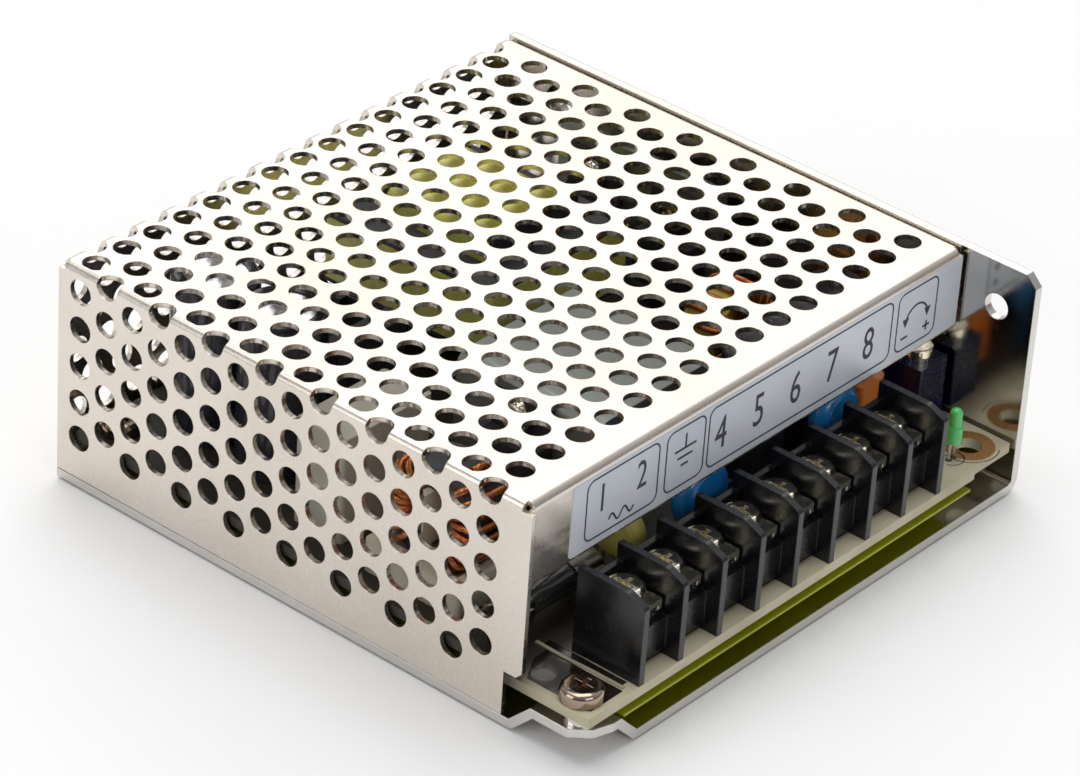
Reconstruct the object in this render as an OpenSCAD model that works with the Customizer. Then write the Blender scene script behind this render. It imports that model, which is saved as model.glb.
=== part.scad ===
// Enclosed switching power supply: open-front chassis, perforated folded cover,
// circuit board with its parts, and an eight-way screw terminal block.
// Frame: origin at the bottom centre, +X along the terminal row, +Y to the rear, +Z up.

/* [Case] */
// Overall width across the terminal row
case_w = 97; // [97:1:130]
// Overall depth from the terminal edge to the rear
case_d = 99; // [99:1:140]
// Overall height
case_h = 36; // [36:0.5:50]
// Thickness of the chassis sheet
chassis_t = 1.4; // [1:0.1:2]
// Thickness of the cover sheet
cover_t = 0.8; // [0.6:0.1:1]
// Outside radius of the cover's bends
cover_bend = 1.2; // [1.1:0.1:2]
// Distance that the cover's front lip stands back from the terminal edge
lip_setback = 12.5; // [12.3:0.1:14]
// Height of the cover's front lip
lip_h = 12.9; // [6:0.1:13]
// Gap between the cover and the chassis
cover_gap = 0.3; // [0.1:0.1:0.6]

/* [Perforation] */
// Diameter of a cover hole
hole_d = 4; // [2.5:0.1:4.8]
// Distance between holes within a column
hole_pitch = 6.04; // [5.6:0.01:8]
// Distance between columns
column_pitch = 5.03; // [4.8:0.01:8]
// Distance from the front lip to the first column
first_column = 6.8; // [5:0.1:12]
// Solid margin at the cover's right edge
right_margin = 1.2; // [1:0.1:8]
// Solid margin at the bottom of the left and rear walls
wall_margin = 3; // [1.6:0.1:8]

/* [Board] */
// Thickness of the circuit board
board_t = 1.6; // [1:0.1:2]
// Height of the board's underside above the floor
board_z = 6.8; // [6.2:0.1:7.5]
// Gap between the board and the case walls
board_gap = 0.6; // [0.4:0.1:1.5]
// Thickness of the insulation sheet
film_t = 0.35; // [0.2:0.05:0.4]

/* [Terminals] */
// Distance between terminals
terminal_pitch = 8.25; // [6.8:0.05:8.3]
// Thickness of a barrier
barrier_t = 1.1; // [0.8:0.1:1.4]
// Height of the barriers above the board
barrier_h = 13.7; // [12.5:0.1:14]
// Depth of the block from front to rear
block_d = 11.7; // [11.5:0.1:12]
// Diameter of a terminal screw's thread
screw_d = 2.9; // [2.3:0.1:3.2]
// Radial running clearance of the screw in its contact
screw_fit = 0.05; // [0.03:0.01:0.1]

/* [Main parts] */
// Diameter of a bulk capacitor
bulk_d = 12.8; // [10:0.1:13]
// Height of a bulk capacitor
bulk_h = 25.2; // [18:0.1:26]
// Length of the transformer core from front to rear
core_l = 32; // [27:0.5:32]
// Width of the transformer core
core_w = 30; // [24:0.5:30]
// Thickness of the transformer core
core_t = 11.5; // [8:0.5:12]
// Diameter of an output capacitor
output_cap_d = 10; // [8:0.5:10.5]
// Height of an output capacitor
output_cap_h = 20; // [12:0.5:24]

/* [Hidden] */
$fn = 48;
tiny = 0.01;

// Outer faces of the case
left_x = -case_w / 2;
right_x = case_w / 2;
front_y = -case_d / 2;
rear_y = case_d / 2;
wall_x = right_x - chassis_t;

// Colours
sheet_colour = [0.86, 0.83, 0.79];
black_plastic = [0.09, 0.09, 0.1];
bright_metal = [0.8, 0.8, 0.78];
copper = [0.78, 0.38, 0.16];
tinned = [0.75, 0.75, 0.76];
ferrite = [0.2, 0.2, 0.22];
cream = [0.9, 0.88, 0.8];
yellow_tape = [0.86, 0.86, 0.36];

// Cover
lip_y = front_y + lip_setback;
cover_right = wall_x - cover_gap;
cover_floor = chassis_t + 0.1;
wall_front = lip_y - 0.6;
bend_z = case_h - cover_bend;
flat_left = left_x + cover_bend;
flat_right = cover_right - cover_bend;
flat_front = lip_y + cover_bend;
flat_rear = rear_y - cover_bend;
flange_h = 9;
flange_screw_y = [-22, 16];
flange_screw_z = case_h - 4.5;
notch_y = lip_y + 2.5;

// Board
board_top = board_z + board_t;
board_rear = rear_y - cover_t - cover_gap - chassis_t - 0.4;
board_left = left_x + cover_t + cover_gap;
board_right = wall_x - board_gap;
lead_end = board_z - 1.1;

// Raised seats that carry the board: a sheet top, then a tapped collar up to the board
collar_h = 1.8;
seat_top = board_z - collar_h;
seat_rise = seat_top - chassis_t;
collar_r = 2.3;
tapped_r = 1.25;
corner_screw = [left_x + 3.1, front_y + 4];
corner_seat_w = 7;
corner_seat_d = 10.1;
round_screws = [[left_x + 5.7, rear_y - 6.9], [wall_x - 5.6, rear_y - 6.9]];
round_seat_r = 2.9;
round_seat_draw = 1.4;
open_hole = [wall_x - 5.5, front_y + 4.5];
open_hole_r = 2;
board_screws_at = concat([corner_screw], round_screws);

// Mounting holes of the case
base_hole_r = 1.5;
base_hole_x = 30;
base_hole_y = [front_y + 17.5, rear_y - 17.5];
side_hole_r = 2;
side_hole_y = [front_y + 6.3, rear_y - 12.7];
side_hole_z = case_h - 7.2;

// Terminal block
terminals = 8;
block_x = left_x + 10.3;
block_y = front_y + 0.1;
block_rear = block_y + block_d;
panel_recess = 2.4;
panel_h = 6.4;
deck_h = 6.6;
contact_t = 0.8;
deck_z = board_top + deck_h;
contact_z = deck_z + contact_t;
terminal_y = block_y + 7.4;
plate_h = 1.7;
plate_sheet = 1;
plate_front = terminal_y - 4.2;
plate_rear = terminal_y + 3.1;
plate_w = terminal_pitch - barrier_t - 0.75;
head_r = (terminal_pitch - barrier_t) / 2 - 0.575;
head_h = 1.8;
shank_l = 6.5;
tail_y = block_rear - 2.2;
tail_w = 1.6;
tail_t = 0.8;

function terminal_x(i) = block_x + barrier_t / 2 + (i + 0.5) * terminal_pitch;

// ---------- helpers ----------

// A block between two opposite corners
module block_between(low, high) {
    translate(low) cube(high - low);
}

// A cylinder along +Z with its top edge rounded
module rounded_cylinder(r, h, edge) {
    rotate_extrude() {
        square([r - edge, h]);
        square([r, h - edge]);
        translate([r - edge, h - edge]) circle(edge);
    }
}

// A rounded rectangle, centred
module rounded_rect(w, h, r) {
    square([w - 2 * r, h], center = true);
    square([w, h - 2 * r], center = true);
    for (sx = [-1, 1], sy = [-1, 1])
        translate([sx * (w / 2 - r), sy * (h / 2 - r)]) circle(r);
}

// Straight leads down through the board
module leads(places, top, r = 0.4) {
    for (p = places) translate([p[0], p[1], lead_end]) cylinder(r = r, h = top - lead_end);
}

// Pan-head screw with a cross recess, its seat at the origin and its shank along -Z
module pan_screw(r, length, top_r, top_h) {
    recess = 1.1;
    difference() {
        union() {
            rounded_cylinder(top_r, top_h, top_h * 0.45);
            translate([0, 0, -length]) cylinder(r = r, h = length + tiny);
        }
        for (a = [0, 90]) rotate(a)
            translate([-top_r * 0.5, -0.35, top_h - recess]) cube([top_r, 0.7, recess + 1]);
    }
}

// Dipped disc standing on the board with its faces to front and rear
module dipped_disc(r, t, z) {
    translate([0, t / 2, z]) rotate([90, 0, 0]) rotate_extrude() {
        square([r - t / 3, t]);
        translate([r - t / 2, t / 2]) circle(t / 2);
    }
}

// ---------- chassis ----------

// Section of the raised corner along one axis: level, then down a 45 degree ramp
module ramp_section(length, base) {
    low = seat_rise + 5;
    polygon([[-5, base - 5], [-5, seat_rise + base], [length, seat_rise + base],
             [length + low, base - 5]]);
}

// Everything below the raised corner's surface; the lower surface is set back at the bend
module corner_block(base, back) {
    intersection() {
        translate([left_x, case_d, 0]) rotate([90, 0, 0]) linear_extrude(2 * case_d)
            ramp_section(corner_seat_w - back, base);
        translate([-case_w, front_y, 0]) rotate([90, 0, 90]) linear_extrude(2 * case_w)
            ramp_section(corner_seat_d - back, base);
    }
}

// Bottom plate's outline, with the front left corner cut off
module plate_outline() {
    polygon([[left_x, rear_y], [left_x, front_y + 3.7], [left_x + 2.3, front_y + 1],
             [left_x + 5.5, front_y], [wall_x - 0.9, front_y], [wall_x - 0.9, rear_y]]);
}

// Round seat drawn up from the plate
module round_seat_shell() {
    skin = 1.2;
    outer = round_seat_r + round_seat_draw;
    lean = round_seat_draw * chassis_t / seat_rise;
    rotate_extrude() polygon([
        [0, seat_top], [round_seat_r, seat_top], [outer, chassis_t], [outer + 1, chassis_t],
        [outer + 1, 0], [outer - skin + lean, 0], [round_seat_r - skin + lean, seat_rise],
        [0, seat_rise]]);
}

module bottom_plate() {
    difference() {
        union() {
            difference() {
                linear_extrude(chassis_t) plate_outline();
                for (p = round_screws) translate([p[0], p[1], -1])
                    cylinder(r = round_seat_r + round_seat_draw, h = chassis_t + 2);
            }
            intersection() {
                linear_extrude(seat_top + 1) plate_outline();
                corner_block(chassis_t, 0);
            }
            for (p = round_screws) translate(p) round_seat_shell();
        }
        corner_block(0, chassis_t * tan(22.5));
        for (s = [-1, 1], y = base_hole_y)
            translate([s * base_hole_x, y, -1]) cylinder(r = base_hole_r, h = chassis_t + 2);
    }
}

// Right wall and the bend that joins it to the bottom plate
module right_wall() {
    bend = chassis_t + 0.8;
    corner_chamfer = 1.8;
    difference() {
        translate([0, rear_y, 0]) rotate([90, 0, 0]) linear_extrude(case_d) {
            translate([wall_x, bend]) square([chassis_t, case_h - bend]);
            translate([wall_x - 1, 0]) square([1 + chassis_t - bend, chassis_t]);
            translate([right_x - bend, bend]) intersection() {
                difference() {
                    circle(bend);
                    circle(bend - chassis_t);
                }
                translate([0, -bend]) square(bend);
            }
        }
        translate([wall_x + chassis_t / 2, front_y, case_h]) rotate([45, 0, 0])
            cube([chassis_t + 1, corner_chamfer * sqrt(2), corner_chamfer * sqrt(2)],
                 center = true);
        for (y = side_hole_y) translate([wall_x - 1, y, side_hole_z]) rotate([0, 90, 0])
            cylinder(r = side_hole_r, h = chassis_t + 2);
        for (y = flange_screw_y) translate([right_x, y, flange_screw_z]) rotate([0, -90, 0]) {
            translate([0, 0, -1]) cylinder(r = countersunk_shank + 0.2, h = chassis_t + 2);
            translate([0, 0, -tiny]) cylinder(r1 = countersunk_r + 0.1,
                r2 = countersunk_shank + 0.1, h = countersunk_r - countersunk_shank);
        }
    }
}

// Tab turned up from the plate behind the cover's rear wall
module rear_tab(x) {
    tab_w = 14;
    tab_h = 11;
    y = rear_y - cover_t - cover_gap - chassis_t;
    translate([x, y + chassis_t, 0]) rotate([90, 0, 0]) linear_extrude(chassis_t) {
        translate([-tab_w / 2, 0]) square([tab_w, tab_h - 2]);
        translate([-tab_w / 2 + 2, 0]) square([tab_w - 4, tab_h]);
        for (s = [-1, 1]) translate([s * (tab_w / 2 - 2), tab_h - 2]) circle(2);
    }
}

module chassis() {
    color(sheet_colour) difference() {
        union() {
            bottom_plate();
            right_wall();
            for (s = [-1, 1]) rear_tab(s * 24);
            for (p = board_screws_at) translate([p[0], p[1], seat_rise])
                cylinder(r = collar_r, h = board_z - seat_rise);
        }
        for (p = board_screws_at) translate([p[0], p[1], seat_rise - 1])
            cylinder(r = tapped_r, h = board_z - seat_rise + 2);
    }
}

// ---------- cover ----------

// Columns run across the case. Column 0 is at the front; odd columns are shifted half a pitch.
bend_inset = 0.6;
first_column_y = lip_y + first_column;
column_count = floor((flat_rear - hole_d / 2 - first_column_y) / column_pitch) + 1;
top_steps = floor((flat_right - right_margin - hole_d / 2 - left_x) / hole_pitch * 2 + tiny) / 2;
wall_low = cover_floor + wall_margin + hole_d / 2;
wall_steps = floor((case_h - bend_inset - wall_low) / hole_pitch * 2 + tiny) / 2;
rear_rows = floor((case_h - bend_inset - wall_low) / column_pitch + tiny);

function half_step(i) = (i % 2) / 2;
function column_y(i) = first_column_y + i * column_pitch;
function step_x(k) = left_x + k * hole_pitch;

// Holes of the flat top, in plan
module top_holes() {
    for (i = [0 : column_count - 1], k = [1 - half_step(i) : 1 : top_steps])
        translate([step_x(k), column_y(i)]) circle(d = hole_d);
}

// Holes of the left wall, drawn with Y across and Z up
module left_holes() {
    for (i = [0 : column_count - 1], k = [1 - half_step(i) : 1 : wall_steps])
        translate([column_y(i), case_h - bend_inset - k * hole_pitch]) circle(d = hole_d);
}

// Holes of the rear wall, drawn with X across and Z up
module rear_holes() {
    for (m = [1 : rear_rows], k = [1 - half_step(m + column_count) : 1 : top_steps])
        translate([step_x(k), case_h - bend_inset - m * column_pitch]) circle(d = hole_d);
}

// Left wall, drawn with Y across and Z up, cut away where the board reaches the case's edge
module left_wall_outline() {
    notch_top = board_top + 0.15;
    nick = 1;
    difference() {
        translate([wall_front, cover_floor]) square([rear_y - wall_front, bend_z - cover_floor]);
        translate([wall_front - 1, 0]) square([notch_y - wall_front + 1, notch_top]);
        polygon([[wall_front - 1, notch_top - 1], [wall_front + nick, notch_top - 1],
                 [wall_front + nick, notch_top], [wall_front, notch_top + nick],
                 [wall_front - 1, notch_top + nick]]);
    }
}

// Quarter ring of a bend, in the first quadrant
module bend_section() {
    intersection() {
        difference() {
            circle(cover_bend);
            circle(cover_bend - cover_t);
        }
        square(cover_bend);
    }
}

// Flange down the inside of the chassis wall, drawn with Y across and Z up
module flange_outline() {
    difference() {
        translate([flat_front, case_h - flange_h])
            square([flat_rear - flat_front, flange_h - cover_bend]);
        for (y = flange_screw_y) translate([y, flange_screw_z]) circle(tapped_r);
        translate([side_hole_y[1], side_hole_z]) circle(side_hole_r + 2);
    }
}

module cover_flats() {
    lip_left = left_x + cover_t + 0.1;
    lip_right = cover_right - 0.3;
    translate([0, 0, case_h - cover_t]) linear_extrude(cover_t) difference() {
        translate([flat_left, flat_front])
            square([flat_right - flat_left, flat_rear - flat_front]);
        top_holes();
    }
    translate([left_x, 0, 0]) rotate([90, 0, 90]) linear_extrude(cover_t) difference() {
        left_wall_outline();
        left_holes();
    }
    translate([0, rear_y, 0]) rotate([90, 0, 0]) linear_extrude(cover_t) difference() {
        translate([left_x + cover_t + 0.1, cover_floor])
            square([cover_right - left_x - cover_t - 0.1, bend_z - cover_floor]);
        rear_holes();
    }
    translate([0, lip_y + cover_t, 0]) rotate([90, 0, 0]) linear_extrude(cover_t)
        translate([lip_left, case_h - lip_h]) square([lip_right - lip_left, lip_h - cover_bend]);
    translate([cover_right - cover_t, 0, 0]) rotate([90, 0, 90]) linear_extrude(cover_t)
        flange_outline();
}

module cover_bends() {
    for (side = [[flat_left, 1], [flat_right, 0]])
        translate([side[0], flat_rear, bend_z]) rotate([90, 0, 0])
            linear_extrude(flat_rear - flat_front) mirror([side[1], 0]) bend_section();
    for (edge = [[flat_rear, 0], [flat_front, 1]])
        translate([flat_left, edge[0], bend_z]) rotate([90, 0, 90])
            linear_extrude(flat_right - flat_left) mirror([edge[1], 0]) bend_section();
}

// The perforated folded cover. A hole that falls on a bend is cut from both faces.
module cover() {
    reach = cover_bend + 1;
    color(sheet_colour) difference() {
        union() {
            cover_flats();
            cover_bends();
        }
        for (i = [0 : 2 : column_count - 1]) {
            translate([left_x + bend_inset, column_y(i), bend_z])
                cylinder(d = hole_d, h = reach);
            translate([left_x - 1, column_y(i), case_h - bend_inset]) rotate([0, 90, 0])
                cylinder(d = hole_d, h = reach);
        }
        for (k = [1 - half_step(column_count) : 1 : top_steps]) {
            translate([step_x(k), rear_y - bend_inset, bend_z])
                cylinder(d = hole_d, h = reach);
            translate([step_x(k), flat_rear, case_h - bend_inset]) rotate([-90, 0, 0])
                cylinder(d = hole_d, h = reach);
        }
    }
}

// Countersunk screws that hold the cover's flange to the chassis wall
countersunk_r = 2.6;
countersunk_shank = 1.2;

module cover_screws() {
    depth = chassis_t + cover_gap + cover_t + 1;
    color(bright_metal) for (y = flange_screw_y)
        translate([right_x, y, flange_screw_z]) rotate([0, -90, 0]) difference() {
            union() {
                cylinder(r1 = countersunk_r, r2 = countersunk_shank,
                         h = countersunk_r - countersunk_shank);
                cylinder(r = countersunk_shank, h = depth);
            }
            for (a = [0, 90]) rotate(a) translate([-1.4, -0.3, -1]) cube([2.8, 0.6, 1.9]);
        }
}

// Printed strip on the cover's lip
module terminal_label() {
    label_t = 0.12;
    low = [left_x + 9, case_h - lip_h + 0.4];
    high = [cover_right - 0.5, bend_z - 0.05];
    color([0.74, 0.77, 0.82]) translate([0, lip_y, 0]) rotate([90, 0, 0])
        linear_extrude(label_t) translate((low + high) / 2)
            rounded_rect(high[0] - low[0], high[1] - low[1], 0.4);
}

// ---------- board and insulation ----------

module circuit_board() {
    step_x = wall_x - 10;
    shelf_y = notch_y - 0.2;
    color([0.78, 0.73, 0.6]) difference() {
        translate([0, 0, board_z]) linear_extrude(board_t) polygon([
            [left_x, front_y], [step_x, front_y], [step_x, front_y + 0.7],
            [board_right, front_y + 0.7], [board_right, board_rear], [board_left, board_rear],
            [board_left, shelf_y], [left_x, shelf_y]]);
        for (p = board_screws_at) translate([p[0], p[1], board_z - 1])
            cylinder(r = tapped_r + 0.4, h = board_t + 2);
        translate([open_hole[0], open_hole[1], board_z - 1])
            cylinder(r = open_hole_r, h = board_t + 2);
        for (i = [0 : terminals - 1]) translate([terminal_x(i), tail_y, board_z - 1])
            linear_extrude(board_t + 2) square([tail_w + 0.3, tail_t + 0.3], center = true);
        for (p = lead_places) translate([p[0], p[1], board_z - 1])
            cylinder(r = 0.5, h = board_t + 2, $fn = 24);
    }
}

module insulation_sheet() {
    side = left_x + corner_seat_w + 0.5;
    color([0.62, 0.72, 0.2]) difference() {
        translate([0, 0, seat_top]) linear_extrude(film_t) polygon([
            [side, front_y], [wall_x - 10.6, front_y], [wall_x - 10.6, front_y + 10],
            [board_right - 1, front_y + 10], [board_right - 1, board_rear - 1],
            [board_left + 1, board_rear - 1], [board_left + 1, front_y + 16],
            [side, front_y + 16]]);
        for (p = round_screws) translate([p[0], p[1], seat_top - 1])
            cylinder(r = collar_r + 0.1, h = film_t + 2);
    }
}

module board_screws() {
    color(bright_metal) for (p = board_screws_at) translate([p[0], p[1], board_top])
        pan_screw(tapped_r - 0.05, board_t + collar_h + 0.6, 3.1, 2.2);
}

// ---------- terminal block ----------

// Side outline of a barrier, Y across and Z up
module barrier_outline() {
    polygon([[0, 0], [0, barrier_h - 1.6], [0.3, barrier_h - 1.2], [2.9, barrier_h - 0.1],
             [3.4, barrier_h], [block_d, barrier_h], [block_d, 0]]);
}

// Outline of the body between two barriers: a front panel, the deck and a rear wall
module deck_outline() {
    foot_h = 1.1;
    rear_wall_h = deck_h + contact_t + 3.6;
    polygon([[panel_recess + 0.6, 0], [panel_recess + 0.6, foot_h], [panel_recess, foot_h],
             [panel_recess, panel_h], [panel_recess + 0.8, panel_h],
             [panel_recess + 0.8, deck_h], [block_d - 1, deck_h],
             [block_d - 1, rear_wall_h], [block_d, rear_wall_h], [block_d, 0]]);
}

module terminal_block() {
    color(black_plastic) difference() {
        union() {
            for (i = [0 : terminals])
                translate([block_x + i * terminal_pitch, block_y, board_top])
                    rotate([90, 0, 90]) linear_extrude(barrier_t) barrier_outline();
            translate([block_x + barrier_t / 2, block_y, board_top]) rotate([90, 0, 90])
                linear_extrude(terminals * terminal_pitch) deck_outline();
        }
        for (i = [0 : terminals - 1]) {
            translate([terminal_x(i), terminal_y, board_top + 1.5])
                cylinder(r = screw_d / 2 + 0.4, h = deck_h);
            translate([terminal_x(i), tail_y, board_top - 1]) linear_extrude(deck_h + 2)
                square([tail_w + 0.3, tail_t + 0.3], center = true);
        }
    }
}

// Tinned contacts: a flat under each clamp plate and a tail down through the board
module terminal_contacts() {
    flat_w = plate_w - 0.4;
    color(tinned) for (i = [0 : terminals - 1]) translate([terminal_x(i), 0, 0]) difference() {
        union() {
            block_between([-flat_w / 2, plate_front + 0.3, deck_z],
                          [flat_w / 2, tail_y + tail_t / 2, contact_z]);
            block_between([-tail_w / 2, tail_y - tail_t / 2, lead_end],
                          [tail_w / 2, tail_y + tail_t / 2, contact_z]);
        }
        translate([0, terminal_y, deck_z - 1])
            cylinder(r = screw_d / 2 + screw_fit, h = contact_t + 2);
    }
}

// Clamp plate: a sheet with both side edges turned down
module clamp_plate(i) {
    edge_w = 0.8;
    length = plate_rear - plate_front;
    color(bright_metal) translate([terminal_x(i), 0, contact_z]) difference() {
        translate([0, plate_rear, 0]) rotate([90, 0, 0]) linear_extrude(length) {
            translate([-plate_w / 2, plate_h - plate_sheet]) square([plate_w, plate_sheet]);
            for (s = [-1, 1]) translate([s * (plate_w - edge_w) / 2 - edge_w / 2, 0])
                square([edge_w, plate_h]);
        }
        translate([0, terminal_y, -1]) cylinder(r = screw_d / 2 + 0.15, h = plate_h + 2);
    }
}

module terminal_screw(i) {
    color(bright_metal) translate([terminal_x(i), terminal_y, contact_z + plate_h])
        pan_screw(screw_d / 2, shank_l, head_r, head_h);
}

// ---------- input side ----------

fuse_at = [left_x + 13.2, front_y + 19.5, board_top + 4.6];
fuse_l = 20;
fuse_r = 2.5;
fuse_cap_l = 5.4;
fuse_clip_w = 4;
fuse_clip_leads = [for (s = [-1, 1], t = [-1, 1])
    [fuse_at[0] + s * (fuse_l / 2 - 2.6), fuse_at[1] + t * 1.3]];

module fuse_tube() {
    length = fuse_l - 1.4;
    color([0.85, 0.9, 0.88]) translate([fuse_at[0] - length / 2, fuse_at[1], fuse_at[2]])
        rotate([0, 90, 0]) difference() {
            cylinder(r = fuse_r - 0.3, h = length);
            translate([0, 0, -1]) cylinder(r = fuse_r - 0.8, h = length + 2);
        }
}

module fuse_caps() {
    color(bright_metal) for (s = [-1, 1])
        translate([fuse_at[0] + s * (fuse_l / 2 - fuse_cap_l), fuse_at[1], fuse_at[2]])
            rotate([0, 90 * s, 0]) difference() {
                rounded_cylinder(fuse_r, fuse_cap_l, 0.3);
                translate([0, 0, -1]) cylinder(r = fuse_r - 0.3, h = fuse_cap_l + 0.4);
            }
}

// Spring clips: arms round the cap, a foot on the board and two pins
module fuse_clips() {
    arm_t = 0.5;
    foot_top = -fuse_r - arm_t / 2;
    color(tinned) {
        for (s = [-1, 1])
            translate([fuse_at[0] + s * (fuse_l / 2 - 2.6) - fuse_clip_w / 2, fuse_at[1],
                       fuse_at[2]])
                rotate([90, 0, 90]) linear_extrude(fuse_clip_w) {
                    difference() {
                        circle(fuse_r + arm_t);
                        circle(fuse_r);
                        translate([-5, 1]) square([10, 5]);
                    }
                    translate([-1.7, board_top - fuse_at[2]])
                        square([3.4, foot_top - board_top + fuse_at[2]]);
                }
        leads(fuse_clip_leads, board_top + 0.5);
    }
}

varistor_at = [left_x + 27.5, front_y + 18.7];
varistor_leads = [for (s = [-1, 1]) [varistor_at[0], varistor_at[1] + s * 2.5]];

module varistor() {
    color([0.62, 0.58, 0.2]) {
        translate([varistor_at[0], varistor_at[1], 0]) rotate(90)
            dipped_disc(4.4, 3.4, board_top + 8.2);
        leads(varistor_leads, board_top + 6);
    }
}

thermistor_at = [left_x + 30, rear_y - 36.5];
thermistor_leads = [for (s = [-1, 1]) [thermistor_at[0] + s * 2.5, thermistor_at[1]]];

module thermistor() {
    color([0.16, 0.32, 0.29]) {
        translate(thermistor_at) dipped_disc(4.8, 4, board_top + 6.9);
        leads(thermistor_leads, board_top + 4);
    }
}

y_cap_front = front_y + 15.5;
y_cap_places = [[left_x + 41, 5.2, 9.4], [left_x + 71, 4.7, 9.1]];
y_cap_leads = [for (p = y_cap_places, s = [-1, 1]) [p[0] + s * 2.5, y_cap_front]];

module y_capacitors() {
    color([0.1, 0.42, 0.75]) {
        for (p = y_cap_places) translate([p[0], y_cap_front, 0])
            dipped_disc(p[1], 3.6, board_top + p[2]);
        leads(y_cap_leads, board_top + 6);
    }
}

x_cap_at = [left_x + 15.5, rear_y - 44];
x_cap_leads = [for (s = [-1, 1]) [x_cap_at[0] + s * 7.5, x_cap_at[1]]];

module x_capacitor() {
    color([0.78, 0.77, 0.7]) {
        translate([x_cap_at[0], x_cap_at[1], board_top]) linear_extrude(17)
            rounded_rect(18, 9, 0.6);
        leads(x_cap_leads, board_top + 1);
    }
}

// Mains choke: a standing ring with two windings, held in a plastic base with a divider
choke_at = [left_x + 11.5, front_y + 36];
choke_bore_r = 4.4;
choke_core_r = 7.9;
choke_core_t = 7;
winding_t = 1.2;
choke_base_h = 2.2;
choke_z = board_top + choke_base_h + choke_core_r + winding_t;
choke_leads = [for (sx = [-1, 1], sy = [-1, 1]) [choke_at[0] + sx * 5.5, choke_at[1] + sy * 7]];

// Section of a ring with square edges, grown on all sides
module ring_section(bore, outer, thick, grow) {
    translate([bore - grow, -thick / 2 - grow])
        square([outer - bore + 2 * grow, thick + 2 * grow]);
}

// Wire turns over one stretch of a ring
module ring_winding(bore, outer, thick, wire, start, span) {
    rotate(start) difference() {
        rotate_extrude(angle = span) ring_section(bore, outer, thick, wire);
        rotate_extrude() ring_section(bore, outer, thick, 0.02);
    }
}

module choke_place() {
    translate([choke_at[0], choke_at[1], choke_z]) rotate([0, 90, 0]) children();
}

module choke_core() {
    color(ferrite) choke_place()
        rotate_extrude() ring_section(choke_bore_r, choke_core_r, choke_core_t, 0);
}

module choke_windings() {
    color(copper) choke_place() for (start = [15, 195])
        ring_winding(choke_bore_r, choke_core_r, choke_core_t, winding_t, start, 150);
}

module choke_base() {
    slot = choke_core_t / 2 + winding_t + 0.1;
    color(cream) {
        difference() {
            union() {
                translate([choke_at[0], choke_at[1], board_top]) linear_extrude(5)
                    rounded_rect(14, 17.4, 1);
                translate([choke_at[0], choke_at[1], board_top + 2])
                    linear_extrude(choke_z - board_top + choke_bore_r - 2.1)
                        square([choke_core_t + 4, 1.2], center = true);
            }
            choke_place() {
                rotate_extrude()
                    ring_section(choke_bore_r, choke_core_r, choke_core_t, 0.1);
                for (start = [12, 192]) ring_winding(choke_bore_r, choke_core_r, choke_core_t,
                                                     winding_t + 0.1, start, 156);
            }
        }
        leads(choke_leads, board_top + 1);
    }
}

bridge_at = [left_x + 33.5, rear_y - 27.5];
bridge_leads = [for (i = [0 : 3]) [bridge_at[0] - 5.7 + i * 3.8, bridge_at[1]]];

module bridge_rectifier() {
    color(black_plastic) {
        translate([bridge_at[0], bridge_at[1], board_top + 3]) linear_extrude(11)
            rounded_rect(14.5, 3.8, 0.4);
        leads(bridge_leads, board_top + 3.5);
    }
}

bulk_places = [for (j = [0, 1]) [left_x + 16, rear_y - 14.9 - j * (bulk_d + 0.3)]];
bulk_leads = [for (p = bulk_places, s = [-1, 1]) [p[0], p[1] + s * 2.5]];
sleeve_t = 0.2;

module bulk_capacitors() {
    color([0.83, 0.84, 0.86]) {
        for (p = bulk_places) translate([p[0], p[1], board_top + 0.3])
            rounded_cylinder(bulk_d / 2 - sleeve_t, bulk_h - 0.3, 0.8);
        leads(bulk_leads, board_top + 0.5);
    }
}

// Sleeve round a can, turned in over the rounded top edge
module can_sleeve(r, height) {
    color(black_plastic) rotate_extrude() polygon([
        [r - sleeve_t, 0], [r, 0], [r, height - 0.3], [r - 0.5, height + sleeve_t],
        [r - 1.8, height + sleeve_t], [r - 1.8, height], [r - sleeve_t, height]]);
}

module bulk_sleeves() {
    for (p = bulk_places) translate([p[0], p[1], board_top]) can_sleeve(bulk_d / 2, bulk_h);
}

// ---------- transformer ----------

trafo_at = [wall_x - 35.1, rear_y - 25];
trafo_z = board_top + 15;
leg_w = 5.5;
yoke_w = 5;
centre_w = 10.5;
window_l = core_l - 2 * yoke_w;
window_w = (core_w - 2 * leg_w - centre_w) / 2;
winding_h = core_t + 2 * window_w + 1;
bobbin_skin = 0.8;
flange_t = 0.9;
trafo_leads = [for (s = [-1, 1], i = [-2 : 2])
    [trafo_at[0] + i * 4.5, trafo_at[1] + s * (core_l / 2 + 2.2)]];

module transformer_core() {
    color(ferrite) translate([trafo_at[0], trafo_at[1], trafo_z - core_t / 2])
        linear_extrude(core_t) difference() {
            rounded_rect(core_w, core_l, 0.4);
            for (s = [-1, 1]) translate([s * (centre_w + window_w) / 2, 0])
                square([window_w, window_l], center = true);
        }
}

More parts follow.
